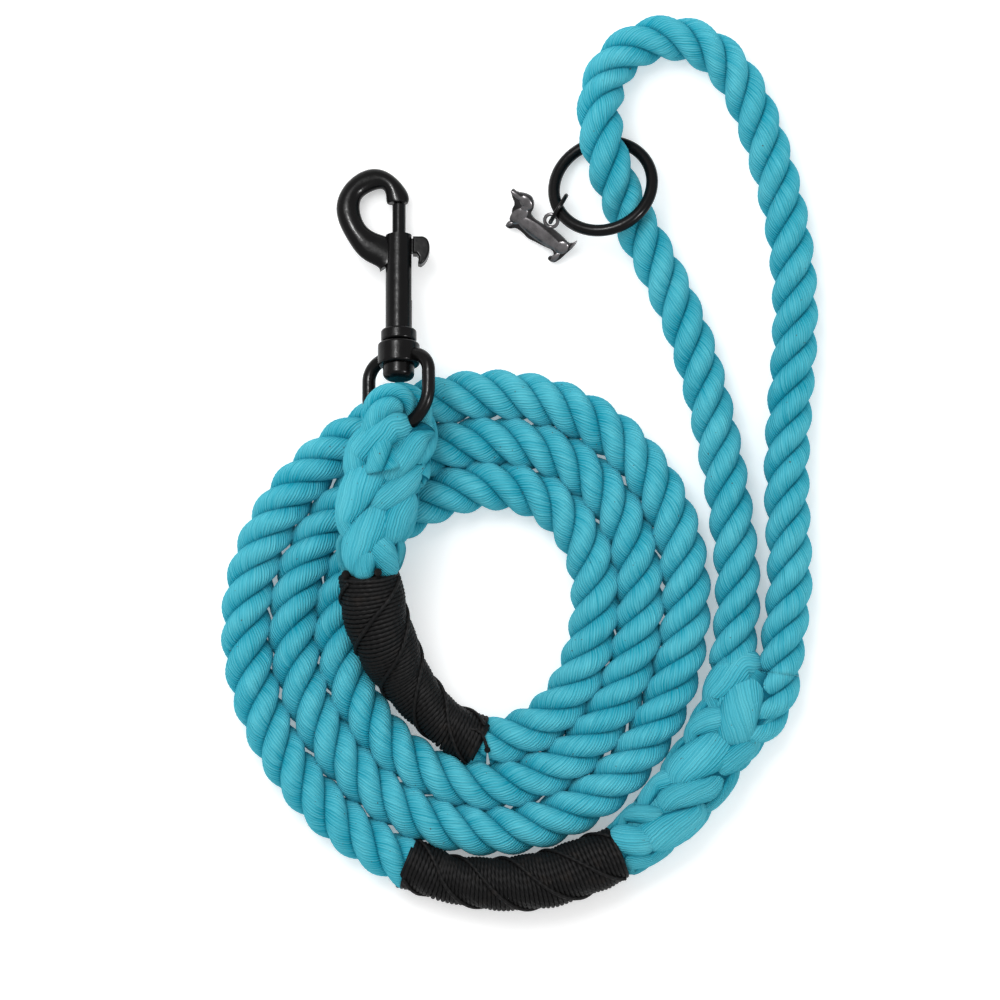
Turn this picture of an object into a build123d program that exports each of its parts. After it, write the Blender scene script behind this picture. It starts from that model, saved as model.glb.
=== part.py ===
from build123d import *
import os
from math import acos, asin, cos, degrees, pi, radians, sin, sqrt, tan

# Twisted-rope dog lead, laid out flat: a swivel bolt snap on a spliced and whipped rope eye,
# about three turns of rope in a flat coil, and a long spliced handle loop that carries a ring
# with a jump ring and a small charm.
# +X is to the right, +Y runs towards the snap and the top of the handle, +Z is up from the floor.

os.makedirs("parts", exist_ok=True)

# --- Driving dimensions, millimetres and degrees ---------------------------------------------
rope_diameter = 14.0
twine_diameter = 1.2
cut_margin = 0.6
core_gap = 0.05
butt_gap = 0.2

# flat coil: radius of the rope's centreline = start + pitch + slow spread + three gentle waves
coil_centre = (-15.3, -44.6)
coil_start_angle = 277.0
coil_end_angle = 1337.0
coil_start_radius = 33.9
coil_pitch = 13.0
coil_spread = 0.27
coil_waves = ((1, 4.67, -39.5), (2, 1.65, 150.6), (3, 1.51, 147.7))
coil_edge_round = 6.2
coil_points_per_turn = 24

# hook end: the rope under the whipping, then the splice; x, y, z, half width, half height, roll
hook_whipping_run = (
    (-17.4, -81.1, 7.5, 7.0, 7.0, 0),
    (-24.4, -77.2, 8.1, 7.0, 7.0, 0),
    (-35.2, -64.6, 10.6, 8.2, 8.2, 0),
    (-38.9, -57.3, 14.4, 9.4, 9.4, 0),
    (-42.2, -50.2, 18.6, 9.8, 9.8, 0),
    (-44.7, -41.0, 21.9, 10.0, 10.0, 0),
    (-45.3, -32.6, 23.7, 9.4, 9.4, 0),
)
hook_splice_run = (
    (-44.9, -23.0, 24.4, 11.2, 10.0, 0),
    (-42.9, -11.8, 24.9, 13.0, 10.2, 10),
    (-40.8, -1.0, 25.0, 13.3, 10.0, 26),
)

# rope eye round the swivel's bar
eye_rope_width = 11.0
eye_rope_thickness = 11.4
eye_roll = 48.0
eye_yaw = 2.0
eye_pitch = -10.0
eye_leg_length = 3.4
eye_gap = 0.8
eye_centre = (-36.6, 10.8, 25.4)
splice_mouth_height = 8.4

# swivel eye, rivet and snap; lengths are along the snap's own axis from the middle of the bar
bar_diameter = 4.0
ring_radius = 10.8
ring_roll = 34.0
boss_radius = 6.3
boss_start = 19.3
boss_length = 6.8
boss_round = 0.8
shoulder_reach = 4.0
shoulder_fall = 2.6
shoulder_round = 6.0
rivet_head_radius = 4.7
rivet_head_length = 4.2
rivet_head_round = 1.8
rivet_shank_radius = 2.4
running_clearance = 0.08
face_clearance = 0.2
collar_gap = 0.5
collar_radius = 5.35
collar_length = 3.8
collar_round = 0.8
barrel_radius = 4.0
barrel_length = 29.6
bolt_radius = 2.0
bolt_length = 23.4
bolt_chamfer = 0.35
bolt_travel = 10.4
bolt_end_gap = 0.15
bore_floor = 3.0
slot_width = 2.6
slot_length = 20.5
trigger_rest_gap = 1.2
trigger_neck_height = 4.2
trigger_drop = 4.0
trigger_thickness = 4.2
trigger_reach = 9.2
trigger_round = 0.6
spring_wire = 0.36
spring_turns = 6
hook_thickness = 5.6
hook_floor_gap = 0.05

# hook of the snap: x, length along the axis from the barrel's top, half width, half thickness, heading
hook_run = (
    (-0.1, 10.3, 2.7, 2.3, 90),
    (-1.6, 14.6, 2.9, 2.5, 125),
    (-6.4, 17.9, 3.1, 2.7, 180),
    (-12.0, 15.7, 3.3, 2.8, 218),
    (-15.2, 10.2, 3.45, 2.8, 268),
    (-14.1, 3.7, 3.4, 2.8, 294),
    (-9.9, -2.0, 4.2, 2.7, 312),
    (-5.6, -4.6, 5.0, 2.5, 317),
    (-2.1, -7.9, 4.9, 2.2, 312),
)

# handle end: the rope under the whipping and the splice; x, y, half width, half height
handle_whipping_run = (
    (-28.4, -121.9, 7.1, 7.1),
    (-22.4, -124.7, 7.3, 7.2),
    (-6.3, -126.5, 8.2, 8.2),
    (8.7, -124.9, 8.9, 8.9),
    (23.0, -119.3, 8.9, 8.9),
    (29.7, -116.7, 8.4, 8.4),
)
handle_splice_run = (
    (41.9, -107.6, 10.4, 9.4),
    (53.5, -93.3, 11.2, 9.9),
    (63.2, -77.4, 11.6, 9.2),
)
crotch = (70.2, -62.0, 14.7, 7.2)
crotch_spread = 7.25
crotch_yaw = 7.7
loop_first_run = 13.0
loop_last_run = 15.0

# handle loop: the corners of the rope's route from the left of the crotch round to its right
loop_route = (
    (65.2, -33.5, 7.0),
    (63.0, -14.6, 7.0),
    (59.8, 4.1, 7.0),
    (55.9, 20.6, 7.0),
    (51.4, 36.5, 7.0),
    (44.4, 53.0, 7.0),
    (37.4, 66.2, 7.0),
    (30.4, 78.8, 7.4),
    (25.4, 91.4, 11.9),
    (23.3, 102.2, 11.9),
    (24.1, 112.8, 7.9),
    (28.5, 121.2, 7.0),
    (36.0, 126.6, 7.0),
    (45.4, 128.3, 7.0),
    (54.9, 125.6, 7.0),
    (63.0, 118.7, 7.0),
    (69.0, 108.2, 7.0),
    (73.8, 95.0, 7.0),
    (78.0, 80.6, 7.0),
    (81.0, 65.6, 7.0),
    (82.4, 49.1, 7.0),
    (82.0, 33.5, 7.0),
    (80.6, 17.6, 7.0),
    (79.5, -0.5, 7.0),
    (80.0, -18.5, 7.0),
    (80.9, -35.0, 7.0),
)
arc_share = 0.45

# ring on the handle, its jump ring and the charm
ring_outer_diameter = 33.6
ring_wire = 3.6
ring_centre = (24.6, 83.2, 9.4)
ring_tilt = 29.0
ring_high_side = -65.0
jump_ring_diameter = 10.6
jump_ring_wire = 1.3
jump_ring_centre = (11.2, 76.4, 8.1)
jump_ring_heading = 59.0
charm_thickness = 1.8
charm_tilt = 22.0
charm_heading = -34.0
charm_tab_centre = (9.1, 72.9, 5.5)
charm_tab_radius = 2.5
charm_hole_radius = 1.5
charm_outline = (
    (-15.0, 1.0),
    (-11.4, 2.4),
    (-8.3, 2.3),
    (-6.0, -1.4),
    (-1.6, -2.4),
    (7.6, -3.2),
    (9.9, -0.5),
    (9.3, -4.8),
    (8.1, -10.2),
    (5.5, -10.6),
    (5.3, -8.1),
    (-4.0, -8.6),
    (-7.2, -8.2),
    (-9.6, -9.8),
    (-10.8, -8.8),
    (-9.8, -7.1),
    (-10.6, -5.2),
    (-11.8, -2.1),
    (-14.4, -0.2),
)
charm_corner_round = 0.35


# --- Helpers ----------------------------------------------------------------------------------
def write(part, name):
    part.label = name
    export_step(part, f"parts/{name}.step")


def coil_radius(angle):
    turns = (angle - coil_start_angle) / 360
    waves = sum(size * cos(radians(k * angle - phase)) for k, size, phase in coil_waves)
    return coil_start_radius + coil_pitch * turns + coil_spread * turns**2 + waves


def coil_point(angle, offset=0.0, height=0.0):
    reach = coil_radius(angle) + offset
    x = coil_centre[0] + reach * cos(radians(angle))
    y = coil_centre[1] + reach * sin(radians(angle))
    return Vector(x, y, height)


def coil_edge(first_angle, offset):
    step = 360 / coil_points_per_turn
    return [coil_point(first_angle + step * i, offset) for i in range(coil_points_per_turn + 1)]


def section_plane(point, direction):
    """A plane across the rope, with its x axis level."""
    level = Vector(0, 0, 1).cross(direction) * -1
    return Plane(origin=point, x_dir=level, z_dir=direction)


def run_planes(points, first_direction, last_direction):
    """One plane per point, square to the run through it."""
    last = len(points) - 1
    planes = []
    for i, point in enumerate(points):
        direction = points[min(i + 1, last)] - points[max(i - 1, 0)]
        if i == 0:
            direction = first_direction
        if i == last:
            direction = last_direction
        planes.append(section_plane(point, direction))
    return planes


def rope_body(planes, sizes, skin=0.0):
    """A smooth solid through one ellipse per plane; skin thickens it all round."""
    with BuildPart() as body:
        for plane, (half_width, half_height, roll) in zip(planes, sizes):
            with BuildSketch(plane):
                Ellipse(half_width + skin, half_height + skin, rotation=roll)
        loft()
    return body.part


def lengthened(planes):
    """The same planes with the two ends moved outwards, for a cut that runs right through."""
    return [planes[0].offset(-cut_margin), *planes[1:-1], planes[-1].offset(cut_margin)]


# --- Rope coil --------------------------------------------------------------------------------
half_rope = rope_diameter / 2
with BuildPart() as rope_coil:
    with BuildSketch():
        with BuildLine():
            outside = Spline(*coil_edge(coil_end_angle - 360, half_rope))
            Line(outside @ 1, outside @ 0)
        make_face()
        with BuildLine():
            inside = Spline(*coil_edge(coil_start_angle, -half_rope))
            Line(inside @ 1, inside @ 0)
        make_face(mode=Mode.SUBTRACT)
    extrude(amount=rope_diameter)
    long_edges = rope_coil.edges().filter_by(lambda edge: edge.length > 4 * rope_diameter)
    fillet(long_edges, coil_edge_round)
write(rope_coil.part, "rope_coil")

# --- Hook end: core under the whipping, the whipping and the splice -------------------------------
coil_start_direction = Vector(sin(radians(coil_start_angle)), -cos(radians(coil_start_angle)), 0)
eye_point = Vector(*eye_centre)
eye_heading = Vector(
    sin(radians(eye_yaw)) * cos(radians(eye_pitch)),
    cos(radians(eye_yaw)) * cos(radians(eye_pitch)),
    sin(radians(eye_pitch)),
)
eye_base = eye_point - eye_heading * eye_leg_length

squeeze = (rope_diameter - coil_pitch) / 2
coil_start = coil_point(coil_start_angle, -squeeze, half_rope)
hook_points = [coil_start + coil_start_direction * butt_gap]
hook_points += [Vector(*station[:3]) for station in hook_whipping_run + hook_splice_run]
hook_points.append(eye_base)
leg_spread = (eye_rope_thickness + bar_diameter) / 2 + eye_gap
hook_sizes = [(half_rope - squeeze, half_rope, 0)]
hook_sizes += [station[3:] for station in hook_whipping_run + hook_splice_run]
hook_sizes.append((leg_spread + eye_rope_thickness / 2, splice_mouth_height, 90 - eye_roll))
hook_planes = run_planes(hook_points, coil_start_direction, eye_heading)
hook_whipped = len(hook_whipping_run) + 1

hook_wrap_planes = hook_planes[:hook_whipped]
hook_wrap_sizes = hook_sizes[:hook_whipped]
hook_core_shape = rope_body(hook_wrap_planes, hook_wrap_sizes, -twine_diameter - core_gap)
hook_sleeve_shape = rope_body(hook_wrap_planes, hook_wrap_sizes)
hook_cutter = rope_body(lengthened(hook_wrap_planes), hook_wrap_sizes, -twine_diameter)
hook_splice_shape = rope_body(hook_planes[hook_whipped - 1:], hook_sizes[hook_whipped - 1:])

with BuildPart() as hook_core:
    add(hook_core_shape)
write(hook_core.part, "hook_core")

with BuildPart() as hook_whipping:
    add(hook_sleeve_shape)
    add(hook_cutter, mode=Mode.SUBTRACT)
    split(bisect_by=Plane.XY, keep=Keep.TOP)
write(hook_whipping.part, "hook_whipping")

with BuildPart() as hook_splice:
    add(hook_splice_shape)
write(hook_splice.part, "hook_splice")

# --- Rope eye: two legs and the bend round the swivel's bar ---------------------------------------
level = Vector(eye_heading.Y, -eye_heading.X, 0).normalized()
upward = level.cross(eye_heading)
leg_side = level * -sin(radians(eye_roll)) + upward * cos(radians(eye_roll))
bend_axis = level * cos(radians(eye_roll)) + upward * sin(radians(eye_roll))
leg_plane = Plane(origin=eye_point, x_dir=bend_axis, z_dir=eye_heading * -1)

with BuildPart() as hook_eye:
    with BuildSketch(leg_plane) as leg_ends:
        with Locations((0, leg_spread), (0, -leg_spread)):
            Ellipse(eye_rope_width / 2, eye_rope_thickness / 2)
    extrude(amount=eye_leg_length)
    with BuildSketch(leg_plane) as bend_end:
        with Locations((0, leg_spread)):
            Ellipse(eye_rope_width / 2, eye_rope_thickness / 2)
    revolve(axis=Axis(eye_point, bend_axis), revolution_arc=-180)
write(hook_eye.part, "hook_eye")

# --- Swivel eye: round bar bent up to its boss ----------------------------------------------------
hook_top = barrel_length + hook_run[2][1] + face_clearance
collar_start = boss_start + boss_length + collar_gap
barrel_start = collar_start + collar_length
reach_to_floor = barrel_start + hook_top
slope = degrees(asin((eye_centre[2] - hook_thickness / 2 - hook_floor_gap) / reach_to_floor))
snap_axis = Vector(0, cos(radians(slope)), -sin(radians(slope)))
snap_right = Vector(1, 0, 0)
snap_up = snap_right.cross(snap_axis)
ring_right = snap_right * cos(radians(ring_roll)) + snap_up * sin(radians(ring_roll))
ring_normal = ring_right.cross(snap_axis)
ring_plane = Plane(origin=eye_point, x_dir=ring_right, z_dir=ring_normal)
snap_plane = Plane(origin=eye_point, x_dir=snap_right, z_dir=snap_up)


def across_snap(distance):
    """The plane square to the snap's axis, so far from the bar's middle."""
    return Plane(origin=eye_point + snap_axis * distance, x_dir=snap_right, z_dir=snap_axis)


boss_end = boss_start + boss_length
shoulder = boss_start + boss_length / 2
with BuildPart() as swivel_eye:
    with BuildSketch(across_snap(boss_start)):
        Circle(boss_radius)
    extrude(amount=boss_length)
    fillet(swivel_eye.edges().filter_by(GeomType.CIRCLE), boss_round)
    with BuildLine(ring_plane) as bar_line:
        CenterArc((0, ring_radius), ring_radius, 180, 180)
        for side in (1, -1):
            FilletPolyline(
                (side * ring_radius, ring_radius),
                (side * ring_radius, shoulder - shoulder_fall),
                (side * shoulder_reach, shoulder),
                radius=shoulder_round,
            )
    for edge in bar_line.edges():
        with BuildSketch(Plane(origin=edge @ 0, z_dir=edge % 0)):
            Circle(bar_diameter / 2)
        sweep(path=edge)
    with BuildSketch(across_snap(boss_start - cut_margin)):
        Circle(rivet_shank_radius + running_clearance)
    extrude(amount=boss_length + 2 * cut_margin, mode=Mode.SUBTRACT)
write(swivel_eye.part, "swivel_eye")

# --- Swivel rivet: its head inside the eye, its shank fixed in the collar --------------------------
head_start = boss_start - face_clearance - rivet_head_length
with BuildPart() as swivel_rivet:
    with BuildSketch(across_snap(head_start)):
        Circle(rivet_head_radius)
    extrude(amount=rivet_head_length)
    fillet(swivel_rivet.edges().filter_by(GeomType.CIRCLE).sort_by(Axis.Y)[0], rivet_head_round)
    with BuildSketch(across_snap(boss_start - face_clearance)):
        Circle(rivet_shank_radius)
    extrude(amount=barrel_start - boss_start + face_clearance)
write(swivel_rivet.part, "swivel_rivet")

# --- Snap body: collar, barrel with its slotted bore, and hook -------------------------------------
barrel_end = barrel_start + barrel_length
nose_end = barrel_end + hook_run[0][1]
bore_start = barrel_start + bore_floor
snap_hook_planes = []
snap_hook_sizes = []
for x, along, half_width, half_thickness, heading in hook_run:
    centre = snap_plane.from_local_coords(Vector(x, barrel_end + along, 0))
    direction = snap_right * cos(radians(heading)) + snap_axis * sin(radians(heading))
    snap_hook_planes.append(Plane(origin=centre, x_dir=direction.cross(snap_up), z_dir=direction))
    snap_hook_sizes.append((half_width, half_thickness, 0))
hook_shape = rope_body(snap_hook_planes, snap_hook_sizes)

with BuildPart() as snap_body:
    with BuildSketch(across_snap(collar_start)):
        Circle(collar_radius)
    extrude(amount=collar_length)
    fillet(snap_body.edges().filter_by(GeomType.CIRCLE), collar_round)
    with BuildSketch(across_snap(collar_start + collar_length / 2)):
        Circle(barrel_radius)
    extrude(amount=barrel_length + collar_length / 2)
    add(hook_shape)
    with BuildSketch(across_snap(collar_start)):
        Circle(rivet_shank_radius)
    extrude(amount=collar_length, mode=Mode.SUBTRACT)
    with BuildSketch(across_snap(bore_start)):
        Circle(bolt_radius + running_clearance)
    extrude(amount=nose_end - bolt_end_gap - bore_start, mode=Mode.SUBTRACT)
    with BuildSketch(snap_plane):
        with Locations((barrel_radius, barrel_end - slot_length / 2)):
            Rectangle(2 * barrel_radius, slot_length)
    extrude(amount=slot_width / 2, both=True, mode=Mode.SUBTRACT)
write(snap_body.part, "snap_body")

# --- Bolt, thumb trigger and return spring ----------------------------------------------------
bolt_start = nose_end - 2 * bolt_end_gap - bolt_length
neck_end = barrel_end - trigger_rest_gap
with BuildPart() as snap_bolt:
    with BuildSketch(across_snap(bolt_start)):
        Circle(bolt_radius)
    extrude(amount=bolt_length)
    chamfer(snap_bolt.edges().filter_by(GeomType.CIRCLE), bolt_chamfer)
write(snap_bolt.part, "snap_bolt")

trigger_inner = barrel_radius + face_clearance
with BuildPart() as thumb_trigger:
    with BuildSketch(snap_plane):
        with BuildLine():
            outer_side = Spline(
                (trigger_reach - 2.2, neck_end + 0.6),
                (trigger_reach - 0.7, neck_end - 0.3),
                (trigger_reach, neck_end - 2.4),
                (trigger_reach - 0.3, neck_end - trigger_neck_height - 0.8),
                (trigger_inner + 3.5, neck_end - trigger_neck_height - trigger_drop + 0.9),
                (trigger_inner + 2.4, neck_end - trigger_neck_height - trigger_drop),
            )
            inner_side = Polyline(
                outer_side @ 1,
                (trigger_inner + 1.5, neck_end - trigger_neck_height - trigger_drop + 0.3),
                (trigger_inner + 1.8, neck_end - trigger_neck_height - 1.6),
                (trigger_inner + 1.2, neck_end - trigger_neck_height - 0.7),
                (trigger_inner, neck_end - trigger_neck_height - 0.6),
                (trigger_inner, neck_end + 0.6),
                outer_side @ 0,
            )
        make_face()
    extrude(amount=trigger_thickness / 2, both=True)
    fillet(thumb_trigger.faces().filter_by(snap_plane).edges(), trigger_round)
    with BuildSketch(snap_plane):
        with Locations((trigger_inner / 2 + 0.5, neck_end - trigger_neck_height / 2)):
            Rectangle(trigger_inner + 1.0, trigger_neck_height)
    extrude(amount=slot_width / 2 - running_clearance, both=True)
    with BuildSketch(across_snap(bolt_start)):
        Circle(bolt_radius)
    extrude(amount=bolt_length, mode=Mode.SUBTRACT)
    with BuildSketch(snap_plane):
        with Locations((-barrel_radius, neck_end)):
            Rectangle(2 * barrel_radius, 4 * barrel_radius)
    extrude(amount=barrel_radius, both=True, mode=Mode.SUBTRACT)
write(thumb_trigger.part, "thumb_trigger")

spring_length = bolt_start - bore_start - 2 * face_clearance
spring_radius = bolt_radius - spring_wire / 2 - running_clearance
spring_rise = spring_length - spring_wire
spring_seat = across_snap(bore_start + face_clearance + spring_wire / 2)
with BuildPart() as upright_spring:
    with BuildLine() as coil_line:
        Helix(pitch=spring_rise / spring_turns, height=spring_rise, radius=spring_radius)
    spring_line = coil_line.wires()[0]
    with BuildSketch(Plane(origin=spring_line @ 0, z_dir=spring_line % 0)):
        Circle(spring_wire / 2)
    sweep(path=spring_line, is_frenet=True)
with BuildPart() as bolt_spring:
    add(spring_seat.location * upright_spring.part)
write(bolt_spring.part, "bolt_spring")

# --- Handle end: core under the whipping, the whipping and the splice ------------------------------
coil_end_direction = Vector(-sin(radians(coil_end_angle)), cos(radians(coil_end_angle)), 0)
crotch_point = Vector(crotch[0], crotch[1], crotch[3])
crotch_heading = Vector(sin(radians(crotch_yaw)), cos(radians(crotch_yaw)), 0)

handle_stations = handle_whipping_run + handle_splice_run
coil_end = coil_point(coil_end_angle, squeeze, half_rope)
handle_points = [coil_end + coil_end_direction * butt_gap]
handle_points += [Vector(x, y, half_height) for x, y, half_width, half_height in handle_stations]
handle_points.append(crotch_point)
handle_sizes = [(half_rope - squeeze, half_rope, 0)]
handle_sizes += [(half_width, half_height, 0) for x, y, half_width, half_height in handle_stations]
handle_sizes.append((crotch[2], crotch[3], 0))
handle_planes = run_planes(handle_points, coil_end_direction, crotch_heading)
handle_whipped = len(handle_whipping_run) + 1

handle_wrap_planes = handle_planes[:handle_whipped]
handle_wrap_sizes = handle_sizes[:handle_whipped]
handle_core_shape = rope_body(handle_wrap_planes, handle_wrap_sizes, -twine_diameter - core_gap)
handle_sleeve_shape = rope_body(handle_wrap_planes, handle_wrap_sizes)
handle_cutter = rope_body(lengthened(handle_wrap_planes), handle_wrap_sizes, -twine_diameter)
handle_splice_shape = rope_body(handle_planes[handle_whipped - 1:], handle_sizes[handle_whipped - 1:])

with BuildPart() as handle_core:
    add(handle_core_shape)
write(handle_core.part, "handle_core")

with BuildPart() as handle_whipping:
    add(handle_sleeve_shape)
    add(handle_cutter, mode=Mode.SUBTRACT)
write(handle_whipping.part, "handle_whipping")

with BuildPart() as handle_splice:
    add(handle_splice_shape)
write(handle_splice.part, "handle_splice")

# --- Handle loop: straight runs joined by arcs as large as the runs allow --------------------------
crotch_right = Vector(crotch_heading.Y, -crotch_heading.X, 0)
crotch_rope = Vector(crotch[0], crotch[1], half_rope)
left_end = crotch_rope - crotch_right * crotch_spread
right_end = crotch_rope + crotch_right * crotch_spread
loop_points = [left_end, left_end + crotch_heading * loop_first_run]
loop_points += [Vector(*point) for point in loop_route]
loop_points += [right_end + crotch_heading * loop_last_run, right_end]
loop_radii = []
for before, corner, after in zip(loop_points, loop_points[1:], loop_points[2:]):
    turn = radians((corner - before).get_angle(after - corner))
    shorter_run = min((corner - before).length, (after - corner).length)
    loop_radii.append(arc_share * shorter_run / tan(turn / 2))
print("handle loop arc radii:", [round(radius, 1) for radius in loop_radii])

with BuildPart() as handle_loop:
    with BuildLine() as loop_line:
        FilletPolyline(*loop_points, radius=loop_radii)
    loop_wire = loop_line.wires()[0]
    with BuildSketch(Plane(origin=loop_wire @ 0, z_dir=loop_wire % 0)):
        Circle(half_rope)
    sweep(path=loop_wire)
write(handle_loop.part, "handle_loop")
section_volume = pi * half_rope**2 * loop_wire.length
print("handle loop length", round(loop_wire.length, 1), "mm")
print("tube volume over section times length:", round(handle_loop.part.volume / section_volume, 4))

# --- Ring on the handle ---------------------------------------------------------------------
high_side = Vector(cos(radians(ring_high_side)), sin(radians(ring_high_side)), 0)
ring_slope = high_side * cos(radians(ring_tilt)) + Vector(0, 0, 1) * sin(radians(ring_tilt))
ring_axle = Vector(-high_side.Y, high_side.X, 0)
accessory_plane = Plane(origin=ring_centre, x_dir=ring_slope, z_dir=ring_slope.cross(ring_axle))
with BuildPart() as accessory_ring:
    with Locations(accessory_plane):
        Torus((ring_outer_diameter - ring_wire) / 2, ring_wire / 2)
write(accessory_ring.part, "accessory_ring")

# --- Jump ring ------------------------------------------------------------------------------
jump_heading = Vector(cos(radians(jump_ring_heading)), sin(radians(jump_ring_heading)), 0)
jump_normal = Vector(jump_heading.Y, -jump_heading.X, 0)
jump_plane = Plane(origin=jump_ring_centre, x_dir=jump_heading, z_dir=jump_normal)
with BuildPart() as jump_ring:
    with Locations(jump_plane):
        Torus((jump_ring_diameter - jump_ring_wire) / 2, jump_ring_wire / 2)
write(jump_ring.part, "jump_ring")

# --- Charm: a small sausage dog with a tab on its back --------------------------------------------
charm_along = Vector(cos(radians(charm_heading)), sin(radians(charm_heading)), 0)
charm_back = Vector(-charm_along.Y, charm_along.X, 0)
charm_slope = charm_back * cos(radians(charm_tilt)) + Vector(0, 0, 1) * sin(radians(charm_tilt))
charm_plane = Plane(origin=charm_tab_centre, x_dir=charm_along, z_dir=charm_along.cross(charm_slope))
with BuildPart() as charm:
    with BuildSketch(charm_plane) as charm_face:
        with BuildLine():
            Polyline(*charm_outline, close=True)
        make_face()
        fillet(charm_face.vertices(), charm_corner_round)
        with Locations((0, -charm_tab_radius)):
            Rectangle(charm_tab_radius, 2 * charm_hole_radius)
        Circle(charm_tab_radius)
        Circle(charm_hole_radius, mode=Mode.SUBTRACT)
    extrude(amount=charm_thickness / 2, both=True)
write(charm.part, "charm")
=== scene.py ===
from math import cos, pi, radians, sin, sqrt

import bpy
import numpy as np
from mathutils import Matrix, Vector


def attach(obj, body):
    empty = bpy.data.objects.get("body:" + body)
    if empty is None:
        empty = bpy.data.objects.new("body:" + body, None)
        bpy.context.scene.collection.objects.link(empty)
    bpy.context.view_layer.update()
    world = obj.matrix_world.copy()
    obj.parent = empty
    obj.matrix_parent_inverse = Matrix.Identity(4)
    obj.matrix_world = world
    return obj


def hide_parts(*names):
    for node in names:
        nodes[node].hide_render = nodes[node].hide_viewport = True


# A dog lead of turquoise twisted cotton rope, laid out flat: a black bolt snap on a spliced and
# whipped eye, about three flat turns, and a long spliced handle loop with a ring and a charm.
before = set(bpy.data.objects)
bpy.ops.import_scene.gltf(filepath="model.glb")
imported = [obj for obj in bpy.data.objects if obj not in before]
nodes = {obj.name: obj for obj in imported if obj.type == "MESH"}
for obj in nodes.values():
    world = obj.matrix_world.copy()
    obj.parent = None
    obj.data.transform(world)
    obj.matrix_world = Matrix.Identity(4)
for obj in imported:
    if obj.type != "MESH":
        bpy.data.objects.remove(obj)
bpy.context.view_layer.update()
bpy.ops.object.select_all(action="DESELECT")

# --- Floor, light and camera ----------------------------------------------------------------------
# A white studio table, lit softly from all round so that almost no shadow shows, seen from
# straight above through a long lens.
scene = bpy.context.scene
scene.view_settings.view_transform = "Standard"
bpy.ops.mesh.primitive_plane_add(size=3, location=(0, 0, -0.0002))
floor = bpy.context.object
floor.name = "floor"

camera_data = bpy.data.cameras.new("camera")
camera_data.lens = 500
camera_data.sensor_width = 36
camera = bpy.data.objects.new("camera", camera_data)
scene.collection.objects.link(camera)
camera.location = (-0.0063, -0.01095, 4.174)
scene.camera = camera

world = bpy.data.worlds.new("studio")
scene.world = world
world.use_nodes = True
world.node_tree.nodes["Background"].inputs["Color"].default_value = (1, 1, 1, 1)
world.node_tree.nodes["Background"].inputs["Strength"].default_value = 0.80


def softbox(name, place, size, power, lights_cloth=True):
    """A square light that faces the middle of the table, or gives glints and nothing else."""
    data = bpy.data.lights.new(name, "AREA")
    data.size = size
    data.energy = power
    lamp = bpy.data.objects.new(name, data)
    scene.collection.objects.link(lamp)
    lamp.location = place
    lamp.visible_diffuse = lights_cloth
    lamp.rotation_euler = (Vector((0, 0, 0)) - Vector(place)).to_track_quat("-Z", "Y").to_euler()


softbox("key_light", (-0.35, 0.55, 1.0), 0.7, 7)
softbox("left_glint", (-0.35, 0.55, 1.0), 0.08, 10, False)
softbox("right_glint", (0.75, -0.1, 0.85), 0.08, 8, False)


# --- Shader wiring --------------------------------------------------------------------------------
# The floor's finish comes first. A Wire is one socket of a shader; sums and products on it add
# the nodes that work them out.
class Wire:
    def __init__(self, tree, socket):
        self.tree = tree
        self.socket = socket

    def math(self, operation, *values):
        node = self.tree.nodes.new("ShaderNodeMath")
        node.operation = operation
        for place, value in enumerate(values):
            plug(self.tree, node.inputs[place], value)
        return Wire(self.tree, node.outputs[0])

    def __add__(self, other):
        return self.math("ADD", self, other)

    def __radd__(self, other):
        return self.math("ADD", other, self)

    def __sub__(self, other):
        return self.math("SUBTRACT", self, other)

    def __rsub__(self, other):
        return self.math("SUBTRACT", other, self)

    def __mul__(self, other):
        return self.math("MULTIPLY", self, other)

    def __rmul__(self, other):
        return self.math("MULTIPLY", other, self)

    def __pow__(self, other):
        return self.math("POWER", self, other)

    def clamped(self):
        return self.math("MINIMUM", self.math("MAXIMUM", self, 0.0), 1.0)


def plug(tree, socket, value):
    if isinstance(value, Wire):
        tree.links.new(value.socket, socket)
    else:
        socket.default_value = value


class Finish:
    """A material with one Principled shader."""

    def __init__(self, name, **constants):
        self.material = bpy.data.materials.new(name)
        self.material.use_nodes = True
        self.tree = self.material.node_tree
        self.shader = self.tree.nodes["Principled BSDF"]
        self.set(**constants)

    def set(self, **values):
        for name, value in values.items():
            plug(self.tree, self.shader.inputs[name.replace("_", " ")], value)

    def node(self, kind, output=0, settings=(), **inputs):
        """A node of a kind, with its settings first and then its sockets' values or wires."""
        made = self.tree.nodes.new(kind)
        for name, value in dict(settings).items():
            if name == "stops":
                ramp = made.color_ramp
                while len(ramp.elements) < len(value):
                    ramp.elements.new(0.5)
                for element, (place, colour) in zip(ramp.elements, value):
                    element.position = place
                    element.color = colour
            else:
                setattr(made, name, value)
        for name, value in inputs.items():
            key = int(name[1:]) if name[0] == "s" and name[1:].isdigit() else name.replace("_", " ")
            plug(self.tree, made.inputs[key], value)
        return Wire(self.tree, made.outputs[output])

    def mix(self, factor, first, second, blend="MIX"):
        """A colour between two colours."""
        return self.node("ShaderNodeMix", 2, {"data_type": "RGBA", "blend_type": blend},
                         s0=factor, s6=first, s7=second)

    def noise(self, vector, scale, detail=3.0, roughness=0.5):
        return self.node("ShaderNodeTexNoise", 0, (), Vector=vector, Scale=scale, Detail=detail,
                         Roughness=roughness)

    def bump(self, height, strength, distance):
        wire = self.node("ShaderNodeBump", 0, (), Height=height, Strength=strength, Distance=distance)
        self.set(Normal=wire)


floor_finish = Finish("white_table", Base_Color=(0.93, 0.93, 0.93, 1), Roughness=0.8,
                      Emission_Color=(1, 1, 1, 1), Emission_Strength=0.30)
floor.data.materials.append(floor_finish.material)


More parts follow.
